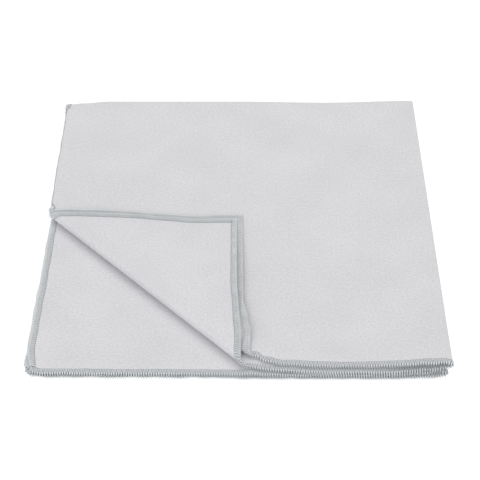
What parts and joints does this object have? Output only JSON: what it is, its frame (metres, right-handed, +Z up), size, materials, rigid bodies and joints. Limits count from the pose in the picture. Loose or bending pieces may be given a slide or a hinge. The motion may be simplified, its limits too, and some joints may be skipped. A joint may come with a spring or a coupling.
{
  "type": "quick dry towel",
  "caption": "Thin quick dry travel towel folded in quarters, its front corner turned back; overlocked on every edge, it opens at the back fold and at the turned corner.",
  "frame": {"origin": "middle of the underside of the folded towel's box, on the surface it lies on", "axes": "+X to the right along the front hems, +Y towards the back folds, +Z up through the stack of layers"},
  "size_m": [0.402, 0.405, 0.0172],
  "materials": {
    "cloth": "matt brushed microfibre",
    "looper_thread": "matt textured polyester thread",
    "needle_thread": "matt spun polyester thread"
  },
  "bodies": {
    "lower_half": {"bottom_panel": "cloth", "second_panel": "cloth", "lower_right_fold": "cloth", "outer_back_fold_lower": "cloth", "inner_back_fold_lower": "cloth", "near_hem_needle": "needle_thread", "near_hem_upper_looper": "looper_thread", "near_hem_lower_looper": "looper_thread", "outer_side_hem_lower_needle": "needle_thread", "outer_side_hem_lower_upper_looper": "looper_thread", "outer_side_hem_lower_lower_looper": "looper_thread", "inner_side_hem_lower_needle": "needle_thread", "inner_side_hem_lower_upper_looper": "looper_thread", "inner_side_hem_lower_lower_looper": "looper_thread"},
    "upper_half": {"third_panel": "cloth", "top_panel": "cloth", "upper_right_fold": "cloth", "outer_back_fold_upper": "cloth", "inner_back_fold_upper": "cloth", "outer_corner_fold_lower": "cloth", "inner_corner_fold_lower": "cloth", "far_hem_needle": "needle_thread", "far_hem_upper_looper": "looper_thread", "far_hem_lower_looper": "looper_thread", "outer_side_hem_upper_needle": "needle_thread", "outer_side_hem_upper_upper_looper": "looper_thread", "outer_side_hem_upper_lower_looper": "looper_thread", "inner_side_hem_upper_needle": "needle_thread", "inner_side_hem_upper_upper_looper": "looper_thread", "inner_side_hem_upper_lower_looper": "looper_thread"},
    "turned_corner": {"outer_corner_fold_upper": "cloth", "inner_corner_fold_upper": "cloth", "turned_under_panel": "cloth", "turned_upper_panel": "cloth", "turned_far_hem_needle": "needle_thread", "turned_far_hem_upper_looper": "looper_thread", "turned_far_hem_lower_looper": "looper_thread", "turned_outer_hem_needle": "needle_thread", "turned_outer_hem_upper_looper": "looper_thread", "turned_outer_hem_lower_looper": "looper_thread", "turned_inner_hem_needle": "needle_thread", "turned_inner_hem_upper_looper": "looper_thread", "turned_inner_hem_lower_looper": "looper_thread"}
  },
  "joints": [
    {"name": "back_fold", "type": "hinge", "parent": "lower_half", "child": "upper_half", "pos_m": [0, 0.2025, 0.0056], "axis": [-1, 0, 0], "range_deg": [0, 180]},
    {"name": "corner_fold", "type": "hinge", "parent": "upper_half", "child": "turned_corner", "pos_m": [-0.09576, -0.09576, 0.0116], "axis": [0.7071, -0.7071, 0], "range_deg": [0, 180]}
  ]
}
